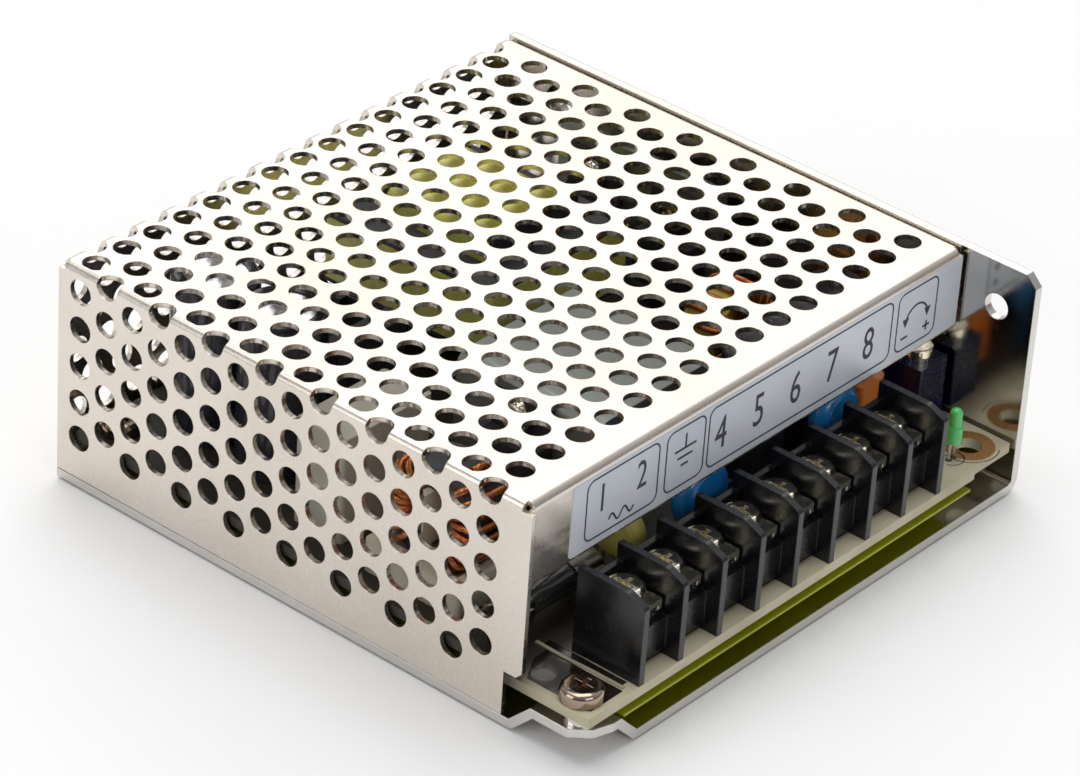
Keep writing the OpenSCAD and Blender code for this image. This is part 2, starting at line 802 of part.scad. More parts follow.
// Tube on the centre leg, a flange at each end, and a pin rail past each yoke
module transformer_bobbin() {
    tube_w = centre_w + 2 * bobbin_skin;
    tube_h = core_t + 2 * bobbin_skin;
    flange_w = centre_w + 2 * window_w - 0.3;
    rail_w = 22;
    rail_top = 3.8;
    color(black_plastic) {
        translate([trafo_at[0], trafo_at[1], trafo_z]) rotate([90, 0, 0]) difference() {
            union() {
                linear_extrude(window_l - 0.3, center = true)
                    square([tube_w, tube_h], center = true);
                for (s = [-1, 1]) translate([0, 0, s * (window_l / 2 - 0.15 - flange_t / 2)])
                    linear_extrude(flange_t, center = true)
                        rounded_rect(flange_w, winding_h, 1);
            }
            linear_extrude(window_l + 2, center = true)
                square([centre_w + 0.1, core_t + 0.1], center = true);
        }
        for (s = [-1, 1]) translate([trafo_at[0], trafo_at[1], board_top]) {
            rail_y = s * (core_l / 2 + 2.2);
            foot_y = s * (window_l / 2 - 0.15 - flange_t / 2);
            translate([0, rail_y, 0]) linear_extrude(rail_top)
                square([rail_w, 3.6], center = true);
            translate([0, (rail_y + foot_y) / 2, 0]) linear_extrude(rail_top)
                square([flange_w, abs(rail_y - foot_y)], center = true);
            translate([0, foot_y, 0]) linear_extrude(trafo_z - board_top - winding_h / 2 + 2)
                square([flange_w - 4, flange_t], center = true);
        }
        leads(trafo_leads, board_top + 1);
    }
}

// Taped winding between the bobbin's flanges
module transformer_winding() {
    length = window_l - 2 * flange_t - 0.5;
    tube_w = centre_w + 2 * bobbin_skin;
    tube_h = core_t + 2 * bobbin_skin;
    color(yellow_tape) translate([trafo_at[0], trafo_at[1], trafo_z]) rotate([90, 0, 0])
        linear_extrude(length, center = true) difference() {
            rounded_rect(centre_w + 2 * window_w - 0.5, winding_h - 0.6, 2.2);
            square([tube_w + 0.05, tube_h + 0.05], center = true);
        }
}

// Band of tape round the outside of the core
module transformer_tape() {
    tape_t = 0.15;
    tape_w = core_t - 1.5;
    color(yellow_tape) translate([trafo_at[0], trafo_at[1], trafo_z - tape_w / 2])
        linear_extrude(tape_w) difference() {
            rounded_rect(core_w + 2 * tape_t, core_l + 2 * tape_t, 0.4 + tape_t);
            rounded_rect(core_w, core_l, 0.4);
        }
}

// ---------- heatsinks and power semiconductors ----------

sink_t = 1.5;
primary_x = left_x + 31;
primary_y = [front_y + 26, front_y + 52];
primary_top = board_top + 20;
primary_flange_w = 25;
output_x = wall_x - 6.1;
output_y = [rear_y - 47, rear_y - 16];
output_top = board_top + 22;
package_w = 10;
package_back = 1.3;
package_body = 4.5;
package_hole_z = board_top + 16.4;
switch_y = front_y + 39;
diode_ys = [rear_y - 40, rear_y - 24];
package_screw_r = 1.4;

function package_leads(face, y) = [for (i = [-1 : 1]) [face - 2.6, y + i * 2.54]];
sink_pins = [for (y = [primary_y[0] + 3, primary_y[1] - 3]) [primary_x + sink_t / 2, y]];
output_pins = [for (y = [output_y[0] + 3, output_y[1] - 3]) [output_x + sink_t / 2, y]];

// Sheet standing on the board, with a hole through it for each package's screw
module sink_web(x, ys, top, screw_ys) {
    difference() {
        block_between([x, ys[0], board_top], [x + sink_t, ys[1], top]);
        for (y = screw_ys) translate([x - 1, y, package_hole_z]) rotate([0, 90, 0])
            cylinder(r = package_screw_r - 0.1, h = sink_t + 2);
    }
}

module primary_heatsink() {
    bend = 2;
    color([0.6, 0.64, 0.6]) {
        sink_web(primary_x, primary_y, primary_top - bend, [switch_y]);
        translate([primary_x + bend, primary_y[1], primary_top - bend]) rotate([90, 0, 0])
            linear_extrude(primary_y[1] - primary_y[0]) mirror([1, 0]) intersection() {
                difference() {
                    circle(bend);
                    circle(bend - sink_t);
                }
                square(bend);
            }
        block_between([primary_x + bend, primary_y[0], primary_top - sink_t],
                      [primary_x + primary_flange_w, primary_y[1], primary_top]);
        leads(sink_pins, board_top + 0.5, 0.45);
    }
}

module output_heatsink() {
    color([0.6, 0.64, 0.6]) {
        sink_web(output_x, output_y, output_top, diode_ys);
        leads(output_pins, board_top + 0.5, 0.45);
    }
}

// Tab package with its metal back against a heatsink's left face
module tab_package(face, y) {
    difference() {
        union() {
            block_between([face - package_back, y - package_w / 2, board_top + 4.4],
                          [face, y + package_w / 2, board_top + 19.4]);
            block_between([face - package_body, y - package_w / 2, board_top + 4.4],
                          [face, y + package_w / 2, board_top + 13]);
        }
        translate([face - package_back - 1, y, package_hole_z]) rotate([0, 90, 0])
            cylinder(r = package_screw_r + 0.2, h = package_back + 2);
    }
    leads(package_leads(face, y), board_top + 5, 0.38);
}

module switch_transistor() {
    color(black_plastic) tab_package(primary_x, switch_y);
}

module output_diodes() {
    color(black_plastic) for (y = diode_ys) tab_package(output_x, y);
}

module heatsink_screws() {
    places = concat([[primary_x, switch_y]], [for (y = diode_ys) [output_x, y]]);
    color(bright_metal) for (p = places)
        translate([p[0] - package_back, p[1], package_hole_z]) rotate([0, -90, 0])
            pan_screw(package_screw_r - 0.15, package_back + sink_t + 1, 2.6, 1.8);
}

// ---------- output side ----------

output_cap_places = [[wall_x - 33.1, front_y + 23.5], [wall_x - 22.3, front_y + 24.5],
                     [wall_x - 11.5, front_y + 26.5]];
output_cap_leads = [for (p = output_cap_places, s = [-1, 1]) [p[0] + s * 2.5, p[1]]];

module output_capacitors() {
    color([0.1, 0.1, 0.13]) {
        for (p = output_cap_places) translate([p[0], p[1], board_top])
            rounded_cylinder(output_cap_d / 2, output_cap_h, 0.8);
        leads(output_cap_leads, board_top + 0.5);
    }
}

out_choke_at = [wall_x - 16, front_y + 42];
out_choke_bore_r = 3.6;
out_choke_r = 6.8;
out_choke_t = 6.6;
out_wire = 1.1;
out_choke_z = board_top + out_choke_r + out_wire;
out_choke_leads = [for (s = [-1, 1]) [out_choke_at[0] + s * 3, out_choke_at[1] + s * 4.2]];

module out_choke_place() {
    translate([out_choke_at[0], out_choke_at[1], out_choke_z]) rotate([90, 0, 0]) children();
}

module output_choke_core() {
    color([0.86, 0.78, 0.2]) out_choke_place()
        rotate_extrude() ring_section(out_choke_bore_r, out_choke_r, out_choke_t, 0);
}

module output_choke_winding() {
    color(copper) {
        out_choke_place() ring_winding(out_choke_bore_r, out_choke_r, out_choke_t, out_wire,
                                       -230, 280);
        leads(out_choke_leads, board_top + 5, 0.45);
    }
}

optocoupler_at = [left_x + 50.5, front_y + 21.5];
chip_at = [left_x + 46.5, front_y + 34.5];
optocoupler_leads = [for (s = [-1, 1], t = [-1, 1])
    [optocoupler_at[0] + s * 3.81, optocoupler_at[1] + t * 1.27]];
chip_leads = [for (s = [-1, 1], i = [0 : 3]) [chip_at[0] + s * 3.81, chip_at[1] - 3.81 + i * 2.54]];

// Dual in-line package
module chip(at, length, places) {
    translate([at[0], at[1], board_top + 0.4]) linear_extrude(3.4)
        square([6.4, length], center = true);
    for (p = places) {
        inner = at[0] + (p[0] > at[0] ? 3 : -3);
        block_between([min(inner, p[0]) - 0.2, p[1] - 0.4, board_top + 1.8],
                      [max(inner, p[0]) + 0.2, p[1] + 0.4, board_top + 2.2]);
    }
    leads(places, board_top + 2, 0.3);
}

module optocoupler() {
    color([0.16, 0.16, 0.17]) chip(optocoupler_at, 4.6, optocoupler_leads);
}

module controller_chip() {
    color([0.12, 0.12, 0.13]) chip(chip_at, 9.6, chip_leads);
}

resistor_places = [[left_x + 43, front_y + 44.5], [left_x + 43, front_y + 48],
                   [left_x + 56, front_y + 44.5], [left_x + 24, rear_y - 53.5]];
resistor_span = 10;
resistor_leads = [for (p = resistor_places, s = [-1, 1]) [p[0] + s * resistor_span / 2, p[1]]];

// Axial resistors lying on the board
module resistors() {
    body_r = 1.2;
    body_l = 6.3;
    color([0.45, 0.6, 0.72]) {
        for (p = resistor_places) translate([p[0], p[1], board_top + body_r]) rotate([0, 90, 0]) {
            cylinder(r = body_r - 0.15, h = body_l, center = true);
            for (s = [-1, 1]) translate([0, 0, s * (body_l / 2 - 0.7)])
                cylinder(r = body_r, h = 1.4, center = true);
            cylinder(r = 0.3, h = resistor_span + 0.6, center = true);
        }
        leads(resistor_leads, board_top + body_r, 0.3);
    }
}

film_cap_at = [wall_x - 13.1, front_y + 18.8];
film_cap_leads = [for (s = [-1, 1]) [film_cap_at[0] + s * 2, film_cap_at[1]]];

module film_capacitor() {
    color([0.85, 0.4, 0.1]) {
        translate([film_cap_at[0], film_cap_at[1], board_top + 0.6]) linear_extrude(8)
            rounded_rect(6.4, 4.2, 1.6);
        leads(film_cap_leads, board_top + 1);
    }
}

led_at = [wall_x - 10, front_y + 4.3];
led_foot = 2.9;
led_lead_places = [for (s = [-1, 1]) [led_at[0] + s * 0.6, led_at[1]]];

// Small lamp with a wide foot and a tower, on two thin leads
module indicator_led() {
    foot_r = 1.25;
    tower_r = 0.95;
    color([0.24, 0.75, 0.35]) translate([led_at[0], led_at[1], board_top + led_foot])
        rotate_extrude() {
            square([foot_r, 2.6]);
            square([tower_r, 4.7]);
            translate([0, 4.7]) intersection() {
                circle(tower_r);
                square(tower_r);
            }
        }
}

module led_leads() {
    color(tinned) leads(led_lead_places, board_top + led_foot, 0.22);
}

// Adjuster: a tall square body with a slotted rotor on top
trimmer_at = [wall_x - 4.2, front_y + 16];
trimmer_w = 6.5;
trimmer_h = 9.6;
rotor_r = 2.3;
rotor_h = 2;
rotor_fit = 0.05;
rotor_pin_r = 1.2;
rotor_pin_h = 3;
trimmer_leads = [for (p = [[-2.5, 0], [0, 2.5], [2.5, 0]]) [trimmer_at[0] + p[0],
                                                            trimmer_at[1] + p[1]]];

module trimmer_body() {
    color([0.1, 0.2, 0.45]) {
        difference() {
            translate([trimmer_at[0], trimmer_at[1], board_top]) linear_extrude(trimmer_h)
                rounded_rect(trimmer_w, trimmer_w, 0.4);
            translate([trimmer_at[0], trimmer_at[1], board_top + trimmer_h - rotor_pin_h - 0.2])
                cylinder(r = rotor_pin_r + rotor_fit, h = rotor_pin_h + 1);
        }
        leads(trimmer_leads, board_top + 0.5);
    }
}

module trimmer_rotor() {
    color(bright_metal) translate([trimmer_at[0], trimmer_at[1], board_top + trimmer_h])
        difference() {
            union() {
                rounded_cylinder(rotor_r, rotor_h, 0.3);
                translate([0, 0, -rotor_pin_h]) cylinder(r = rotor_pin_r, h = rotor_pin_h + tiny);
            }
            translate([-rotor_r - 1, -0.35, rotor_h - 0.9]) cube([2 * rotor_r + 2, 0.7, 2]);
        }
}

lead_places = concat(fuse_clip_leads, varistor_leads, thermistor_leads, y_cap_leads,
    x_cap_leads, choke_leads, bridge_leads, bulk_leads, trafo_leads, sink_pins, output_pins,
    package_leads(primary_x, switch_y),
    [for (y = diode_ys, p = package_leads(output_x, y)) p],
    output_cap_leads, out_choke_leads, optocoupler_leads, chip_leads, resistor_leads,
    film_cap_leads, led_lead_places, trimmer_leads);

// ---------- what is drawn ----------

chassis();
cover();
terminal_label();
cover_screws();
circuit_board();
insulation_sheet();
board_screws();
terminal_block();
terminal_contacts();
fuse_tube();
fuse_caps();
fuse_clips();
varistor();
thermistor();
x_capacitor();
choke_core();
choke_windings();
choke_base();
y_capacitors();
bridge_rectifier();
bulk_capacitors();
bulk_sleeves();
transformer_core();
transformer_bobbin();
transformer_winding();
transformer_tape();
primary_heatsink();
switch_transistor();
output_heatsink();
output_diodes();
heatsink_screws();
output_capacitors();
output_choke_core();
output_choke_winding();
optocoupler();
controller_chip();
resistors();
film_capacitor();
indicator_led();
led_leads();
trimmer_body();
trimmer_rotor();
clamp_plate(0);  // clamp_plate_1
clamp_plate(1);  // clamp_plate_2
clamp_plate(2);  // clamp_plate_3
clamp_plate(3);  // clamp_plate_4
clamp_plate(4);  // clamp_plate_5
clamp_plate(5);  // clamp_plate_6
clamp_plate(6);  // clamp_plate_7
clamp_plate(7);  // clamp_plate_8
terminal_screw(0);  // terminal_screw_1
terminal_screw(1);  // terminal_screw_2
terminal_screw(2);  // terminal_screw_3
terminal_screw(3);  // terminal_screw_4
terminal_screw(4);  // terminal_screw_5
terminal_screw(5);  // terminal_screw_6
terminal_screw(6);  // terminal_screw_7
terminal_screw(7);  // terminal_screw_8
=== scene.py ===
"""Enclosed switching power supply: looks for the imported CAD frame. Metres, row frame."""
import math

import bmesh
import bpy
from mathutils import Matrix, Vector


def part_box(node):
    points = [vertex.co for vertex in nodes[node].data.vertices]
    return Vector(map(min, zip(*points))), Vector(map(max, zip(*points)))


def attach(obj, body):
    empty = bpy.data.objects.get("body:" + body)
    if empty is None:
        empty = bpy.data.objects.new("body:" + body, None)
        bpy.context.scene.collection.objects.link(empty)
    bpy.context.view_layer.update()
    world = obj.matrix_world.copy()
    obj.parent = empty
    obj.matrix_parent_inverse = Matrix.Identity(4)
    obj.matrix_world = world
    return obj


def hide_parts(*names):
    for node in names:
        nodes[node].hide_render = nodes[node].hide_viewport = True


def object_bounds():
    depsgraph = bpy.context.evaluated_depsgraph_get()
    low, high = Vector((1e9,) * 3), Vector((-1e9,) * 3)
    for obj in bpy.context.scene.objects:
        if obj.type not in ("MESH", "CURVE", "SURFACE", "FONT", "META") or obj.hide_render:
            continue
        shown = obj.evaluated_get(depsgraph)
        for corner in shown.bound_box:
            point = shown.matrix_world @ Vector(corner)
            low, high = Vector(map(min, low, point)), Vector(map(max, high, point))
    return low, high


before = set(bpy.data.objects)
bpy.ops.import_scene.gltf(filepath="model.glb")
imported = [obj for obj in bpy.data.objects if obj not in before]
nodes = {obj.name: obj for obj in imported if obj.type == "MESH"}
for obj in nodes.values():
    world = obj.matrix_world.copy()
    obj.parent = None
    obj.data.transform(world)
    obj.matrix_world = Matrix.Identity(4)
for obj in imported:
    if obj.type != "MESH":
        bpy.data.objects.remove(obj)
lo0, hi0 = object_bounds()
MM = 0.001
scene = bpy.context.scene


# ---------- materials ----------

class Mat:
    """A node material: a principled shader with procedural colour, roughness and bump."""

    def __init__(self, name):
        self.m = bpy.data.materials.new(name)
        self.m.use_nodes = True
        self.nt = self.m.node_tree
        self.nt.nodes.clear()
        self.out = self.node("ShaderNodeOutputMaterial")
        self.b = self.node("ShaderNodeBsdfPrincipled")
        self.link(self.b.outputs[0], self.out.inputs[0])
        coord = self.node("ShaderNodeTexCoord")
        self.at = coord.outputs["Object"]

    def node(self, kind, **props):
        n = self.nt.nodes.new(kind)
        for k, v in props.items():
            setattr(n, k, v)
        return n

    def link(self, a, b):
        self.nt.links.new(a, b)

    def set(self, **values):
        names = {"metallic": "Metallic", "coat": "Coat Weight", "spec": "Specular IOR Level",
                 "transmission": "Transmission Weight", "sss": "Subsurface Weight"}
        for k, v in values.items():
            self.b.inputs[names[k]].default_value = v
        return self

    def noise(self, scale, detail=4.0, stretch=(1, 1, 1), rough=0.55):
        mp = self.node("ShaderNodeMapping")
        mp.inputs["Scale"].default_value = stretch
        self.link(self.at, mp.inputs[0])
        n = self.node("ShaderNodeTexNoise")
        n.inputs["Scale"].default_value = scale
        n.inputs["Detail"].default_value = detail
        n.inputs["Roughness"].default_value = rough
        self.link(mp.outputs[0], n.inputs["Vector"])
        return n.outputs[0]

    def ramp(self, fac, stops):
        r = self.node("ShaderNodeValToRGB")
        while len(r.color_ramp.elements) < len(stops):
            r.color_ramp.elements.new(0.5)
        for e, (pos, col) in zip(r.color_ramp.elements, stops):
            e.position = pos
            e.color = (*col, 1) if len(col) == 3 else col
        self.link(fac, r.inputs[0])
        return r.outputs[0]

    def span(self, fac, low, high, a=0.3, b=0.7):
        r = self.node("ShaderNodeMapRange")
        for i, v in enumerate((a, b, low, high)):
            r.inputs[1 + i].default_value = v
        self.link(fac, r.inputs[0])
        return r.outputs[0]

    def colour(self, fac, low, high, a=0.3, b=0.7):
        self.link(self.ramp(fac, [(a, low), (b, high)]), self.b.inputs["Base Color"])
        return self

    def along(self, axis, start, end):
        """0 before start and 1 after end, on one axis of the row frame, in metres."""
        sep = self.node("ShaderNodeSeparateXYZ")
        self.link(self.at, sep.inputs[0])
        return self.span(sep.outputs[axis], 0.0, 1.0, start, end)

    def shade(self, fac, colour):
        """Blends the base colour towards another where fac is 1."""
        mix = self.node("ShaderNodeMix", data_type="RGBA")
        base = self.b.inputs["Base Color"]
        self.link(fac, mix.inputs[0])
        self.link(base.links[0].from_socket, mix.inputs[6])
        mix.inputs[7].default_value = (*colour, 1)
        self.link(mix.outputs[2], base)
        return self

    def rough(self, fac, low, high, a=0.3, b=0.7):
        self.link(self.span(fac, low, high, a, b), self.b.inputs["Roughness"])
        return self

    def bump(self, fac, strength, distance, edge=0.0):
        """Bump from a height; edge adds rounded edges of that radius in metres."""
        n = self.node("ShaderNodeBump")
        n.inputs["Strength"].default_value = strength
        n.inputs["Distance"].default_value = distance
        self.link(fac, n.inputs["Height"])
        if edge:
            bevel = self.node("ShaderNodeBevel", samples=4)
            bevel.inputs["Radius"].default_value = edge
            self.link(bevel.outputs[0], n.inputs["Normal"])
        self.link(n.outputs[0], self.b.inputs["Normal"])
        return self


def finish(name, low, high, scale=300, rough=(0.3, 0.5), bump=(0.2, 0.00003), edge=0.0001,
           stretch=(1, 1, 1), **values):
    """A finish with varied colour, varied roughness, a fine bump and softened edges."""
    m = Mat(name).set(**values)
    wide = m.noise(scale * 0.3, 3, stretch)
    fine = m.noise(scale * 6, 3, stretch)
    m.colour(wide, low, high)
    m.rough(fine, *rough)
    m.bump(fine, bump[0], bump[1], edge)
    return m


def dressed(*args, **values):
    return finish(*args, **values).m


def give(mat, *names):
    for n in names:
        o = nodes[n]
        o.data.materials.clear()
        o.data.materials.append(mat)


def sheet_metal(name, low, high, rough, grain, edge):
    """Plated sheet: cloudy tint, faint handling marks, rolling grain along X."""
    m = Mat(name).set(metallic=1.0, spec=0.5)
    cloud = m.noise(28, 5)
    marks = m.noise(90, 6, (1, 3, 1), 0.7)
    brushed = m.noise(900, 2, (0.04, 1, 1))
    m.colour(cloud, low, high, 0.25, 0.75)
    mix = m.node("ShaderNodeMath", operation="ADD")
    m.link(m.span(marks, rough[0], rough[1], 0.35, 0.7), mix.inputs[0])
    m.link(m.span(brushed, 0.0, grain, 0.3, 0.7), mix.inputs[1])
    m.link(mix.outputs[0], m.b.inputs["Roughness"])
    m.bump(brushed, 0.08, 0.00002, edge)
    return m.m


COVER = sheet_metal("cover_metal", (0.66, 0.60, 0.53), (0.80, 0.74, 0.67), (0.20, 0.30), 0.05, 0.00018)
CHASSIS = sheet_metal("chassis_metal", (0.58, 0.56, 0.53), (0.74, 0.71, 0.67), (0.08, 0.16), 0.03, 0.0002)
SCREW = dressed("nickel_screw", (0.78, 0.72, 0.56), (0.96, 0.91, 0.76), 260, (0.07, 0.16),
                (0.05, 0.00001), 0.00016, metallic=1.0)
TIN = dressed("tinned_metal", (0.60, 0.60, 0.60), (0.80, 0.80, 0.78), 300, (0.15, 0.3),
              (0.06, 0.00001), 0.00008, metallic=1.0)
BLACK = dressed("black_moulding", (0.003, 0.0035, 0.005), (0.006, 0.0065, 0.009), 90, (0.20, 0.30),
                (0.06, 0.00001), 0.00025, spec=0.6)
SLEEVE = dressed("black_sleeve", (0.012, 0.012, 0.02), (0.035, 0.035, 0.05), 120, (0.18, 0.3),
                 (0.2, 0.00005), 0.0001, coat=0.3)
laminate = finish("board_laminate", (0.44, 0.40, 0.27), (0.62, 0.57, 0.41), 260, (0.45, 0.65),
                  (0.3, 0.00004), 0.00005)
# Painted shade: the board's top turns near-black from Y -42 mm to -35.5 mm inward, standing in for the
# shade inside the case
BOARD = laminate.shade(laminate.along("Y", -0.042, -0.0355), (0.030, 0.024, 0.016)).m
RIDGE = dressed("board_ridge", (0.34, 0.31, 0.22), (0.50, 0.46, 0.34), 400, (0.35, 0.5))
# Painted shade: a near-black glossy finish for slabs that stand in for shade and dark reflection on the
# board top
PAINTED_SHADE_PAD = dressed("board_dark_pad", (0.004, 0.003, 0.002), (0.020, 0.010, 0.006), 240, (0.08, 0.2),
                   (0.3, 0.00005), 0.0, coat=0.5)
# Partly painted: the warm tint is the plating, and the low base brightness is a painted dark reflection
# of the shaded case interior
DARKENED_BOARD_SCREW = dressed("board_screw", (0.20, 0.14, 0.10), (0.52, 0.42, 0.33), 260, (0.06, 0.14),
                 (0.05, 0.00001), 0.0002, metallic=1.0)
# Painted shade: the fuse caps and clips are far darker than bare metal, standing in for the shade inside
# the case
FUSE = dressed("fuse_cap", (0.16, 0.15, 0.13), (0.28, 0.26, 0.22), 300, (0.2, 0.35),
               (0.06, 0.00001), 0.0001, metallic=1.0)
FILM = dressed("insulation_film", (0.30, 0.32, 0.004), (0.40, 0.42, 0.012), 90, (0.16, 0.28),
               (0.15, 0.00003), 0.0, spec=0.5)
LABEL = dressed("label_foil", (0.55, 0.60, 0.68), (0.70, 0.74, 0.80), 90, (0.28, 0.42),
                (0.15, 0.00003), 0.0, metallic=0.25)
PRINT = dressed("label_print", (0.015, 0.02, 0.03), (0.04, 0.045, 0.06), 900, (0.45, 0.6),
                (0.1, 0.00001), 0.0)
PAD = dressed("board_pad", (0.30, 0.14, 0.04), (0.50, 0.28, 0.10), 300, (0.25, 0.4),
              (0.2, 0.00002), 0.0, metallic=0.4)
SILK = dressed("board_marks", (0.10, 0.09, 0.07), (0.20, 0.18, 0.14), 900, (0.5, 0.65),
               (0.1, 0.00001), 0.0)
FERRITE = dressed("ferrite", (0.035, 0.035, 0.04), (0.09, 0.09, 0.10), 500, (0.4, 0.6),
                  (0.5, 0.00008), 0.0002)
COPPER = dressed("enamelled_copper", (0.50, 0.13, 0.03), (0.78, 0.28, 0.08), 600, (0.15, 0.3),
                 (0.1, 0.00002), 0.0, metallic=0.75, coat=0.5)
CREAM = dressed("cream_moulding", (0.66, 0.60, 0.46), (0.80, 0.76, 0.64), 160, (0.4, 0.55))
TAPE = dressed("yellow_tape", (0.68, 0.66, 0.12), (0.85, 0.84, 0.28), 120, (0.2, 0.35),
               (0.3, 0.00005), 0.0002, spec=0.5)
CAN = dressed("can_aluminium", (0.72, 0.74, 0.80), (0.88, 0.90, 0.95), 200, (0.15, 0.3),
              (0.2, 0.00003), 0.0002, metallic=1.0)
SINK = dressed("heatsink_metal", (0.34, 0.37, 0.34), (0.50, 0.53, 0.49), 150, (0.35, 0.5),
               (0.2, 0.00004), 0.0002, metallic=0.85, stretch=(1, 0.15, 1))
CHIP = dressed("semiconductor_body", (0.02, 0.02, 0.022), (0.05, 0.05, 0.055), 900, (0.5, 0.7),
               (0.5, 0.00005), 0.00015)
BEIGE = dressed("beige_case", (0.58, 0.55, 0.46), (0.72, 0.69, 0.60), 140, (0.4, 0.55),
                (0.2, 0.00004), 0.0003)
BLUE = dressed("blue_coating", (0.008, 0.14, 0.42), (0.02, 0.26, 0.62), 160, (0.12, 0.25),
               (0.4, 0.0001), 0.0, coat=0.5)
OLIVE = dressed("olive_coating", (0.34, 0.30, 0.05), (0.46, 0.42, 0.10), 160, (0.35, 0.5),
                (0.4, 0.0001), 0.0)
TEAL = dressed("teal_coating", (0.01, 0.10, 0.09), (0.03, 0.17, 0.15), 160, (0.35, 0.5),
               (0.4, 0.0001), 0.0)
ORANGE = dressed("orange_coating", (0.55, 0.12, 0.01), (0.75, 0.22, 0.03), 160, (0.15, 0.3),
                 (0.4, 0.0001), 0.0, coat=0.4)
RESISTOR = dressed("resistor_coating", (0.12, 0.30, 0.45), (0.20, 0.42, 0.58), 300, (0.3, 0.45))
CORE = dressed("yellow_core", (0.60, 0.48, 0.04), (0.78, 0.66, 0.10), 250, (0.35, 0.5),
               (0.3, 0.00008), 0.0002)
TRIM = dressed("trimmer_plastic", (0.002, 0.005, 0.03), (0.004, 0.010, 0.05), 250, (0.2, 0.32))
GREEN = dressed("green_lens", (0.02, 0.42, 0.09), (0.05, 0.60, 0.16), 250, (0.12, 0.22),
                (0.1, 0.00003), 0.0, coat=0.5, sss=0.25)
# Painted shade: the fuse glass is smoky grey, standing in for the shade inside the case
GLASS = dressed("fuse_glass", (0.20, 0.22, 0.21), (0.34, 0.36, 0.35), 200, (0.02, 0.06),
                (0.02, 0.00001), 0.0, transmission=0.9)

give(COVER, "cover")
give(CHASSIS, "chassis")
give(LABEL, "terminal_label")
give(SCREW, "cover_screws", "heatsink_screws", "trimmer_rotor")
give(DARKENED_BOARD_SCREW, "board_screws")
give(FUSE, "fuse_caps", "fuse_clips")
give(BOARD, "circuit_board")
give(FILM, "insulation_sheet")
give(BLACK, "terminal_block")
give(TIN, "terminal_contacts", "led_leads")
give(GLASS, "fuse_tube")
give(OLIVE, "varistor")
give(TEAL, "thermistor")
give(BEIGE, "x_capacitor")
give(FERRITE, "choke_core", "transformer_core")
give(COPPER, "choke_windings", "output_choke_winding")
give(CREAM, "choke_base")
give(BLUE, "y_capacitors")
give(CHIP, "bridge_rectifier", "switch_transistor", "output_diodes", "optocoupler",
     "controller_chip", "transformer_bobbin")
give(CAN, "bulk_capacitors")
give(SLEEVE, "bulk_sleeves", "output_capacitors")
give(TAPE, "transformer_winding", "transformer_tape")
give(SINK, "primary_heatsink", "output_heatsink")
give(CORE, "output_choke_core")
give(RESISTOR, "resistors")
give(ORANGE, "film_capacitor")
give(GREEN, "indicator_led")
give(TRIM, "trimmer_body")
for k in range(1, 9):
    give(SCREW, f"clamp_plate_{k}", f"terminal_screw_{k}")


# ---------- geometry helpers ----------

def piece(name, bm_or_mesh, mat, body="supply"):
    """Puts a mesh in the scene as a piece that rides on a body."""
    if isinstance(bm_or_mesh, bmesh.types.BMesh):
        me = bpy.data.meshes.new(name)
        bm_or_mesh.normal_update()
        bm_or_mesh.to_mesh(me)
        bm_or_mesh.free()
    else:
        me = bm_or_mesh
    o = bpy.data.objects.new(name, me)
    scene.collection.objects.link(o)
    me.materials.clear()
    me.materials.append(mat)
    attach(o, body)
    return o


def tube(bm, points, radius, sides=10, closed=False):
    """A round wire through the points, added to bm."""
    n = len(points)
    rings = []
    up = Vector((0, 0, 1))
    for i, p in enumerate(points):
        a = points[(i - 1) % n] if closed or i else p
        b = points[(i + 1) % n] if closed or i < n - 1 else p
        d = (b - a).normalized()
        side = d.cross(up)
        if side.length < 0.2:
            side = d.cross(Vector((1, 0, 0)))
        side.normalize()
        up = side.cross(d).normalized()
        rings.append([bm.verts.new(p + radius * (math.cos(t) * side + math.sin(t) * up))
                      for t in (2 * math.pi * k / sides for k in range(sides))])
    pairs = [(i, (i + 1) % n) for i in range(n if closed else n - 1)]
    for i, j in pairs:
        for k in range(sides):
            f = bm.faces.new((rings[i][k], rings[i][(k + 1) % sides],
                              rings[j][(k + 1) % sides], rings[j][k]))
            f.smooth = True
    if not closed:
        bm.faces.new(rings[0][::-1])
        bm.faces.new(rings[-1])


def slab(bm, poly, depth, place):
    """A flat shape given as (u, v) points, thickened by depth along its normal."""
    low = [bm.verts.new(place @ Vector((u, v, 0))) for u, v in poly]
    high = [bm.verts.new(place @ Vector((u, v, depth))) for u, v in poly]
    n = len(poly)
    bm.faces.new(low[::-1])
    bm.faces.new(high)
    for i in range(n):
        j = (i + 1) % n
        bm.faces.new((low[i], low[j], high[j], high[i]))


def centre(node):
    """The middle of a CAD node's box."""
    a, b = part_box(node)
    return (a + b) / 2


# ---------- printed strip ----------

label_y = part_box("terminal_label")[0].y
LABEL_AT = Matrix(((1, 0, 0, 0), (0, 0, -1, label_y), (0, 1, 0, 0), (0, 0, 0, 1)))
INK = 0.03 * MM
STROKE = 0.34 * MM

# places on the strip in mm: X along the row, Z up
FRAME_LOW, FRAME_HIGH = 24.7, 34.2
FRAMES_X = ((-36.6, -21.6), (-20.0, -11.8), (-10.9, 30.1), (31.5, 40.7))
EARTH_X = -15.9
EARTH_BARS = ((30.6, 2.3), (29.3, 1.6), (28.0, 0.8))
WAVE_X, WAVE_Z = -29.1, 26.3
TURN_X, TURN_Z, TURN_R = 36.1, 28.6, 2.6
SIGN_Z = 26.6
MINUS_X, PLUS_X = 33.5, 38.7


def arc(cx, cz, r, a0, a1, n=10):
    """Points on a round line from angle a0 to a1, in degrees."""
    return [(cx + r * math.cos(math.radians(a0 + (a1 - a0) * i / n)),
             cz + r * math.sin(math.radians(a0 + (a1 - a0) * i / n))) for i in range(n + 1)]


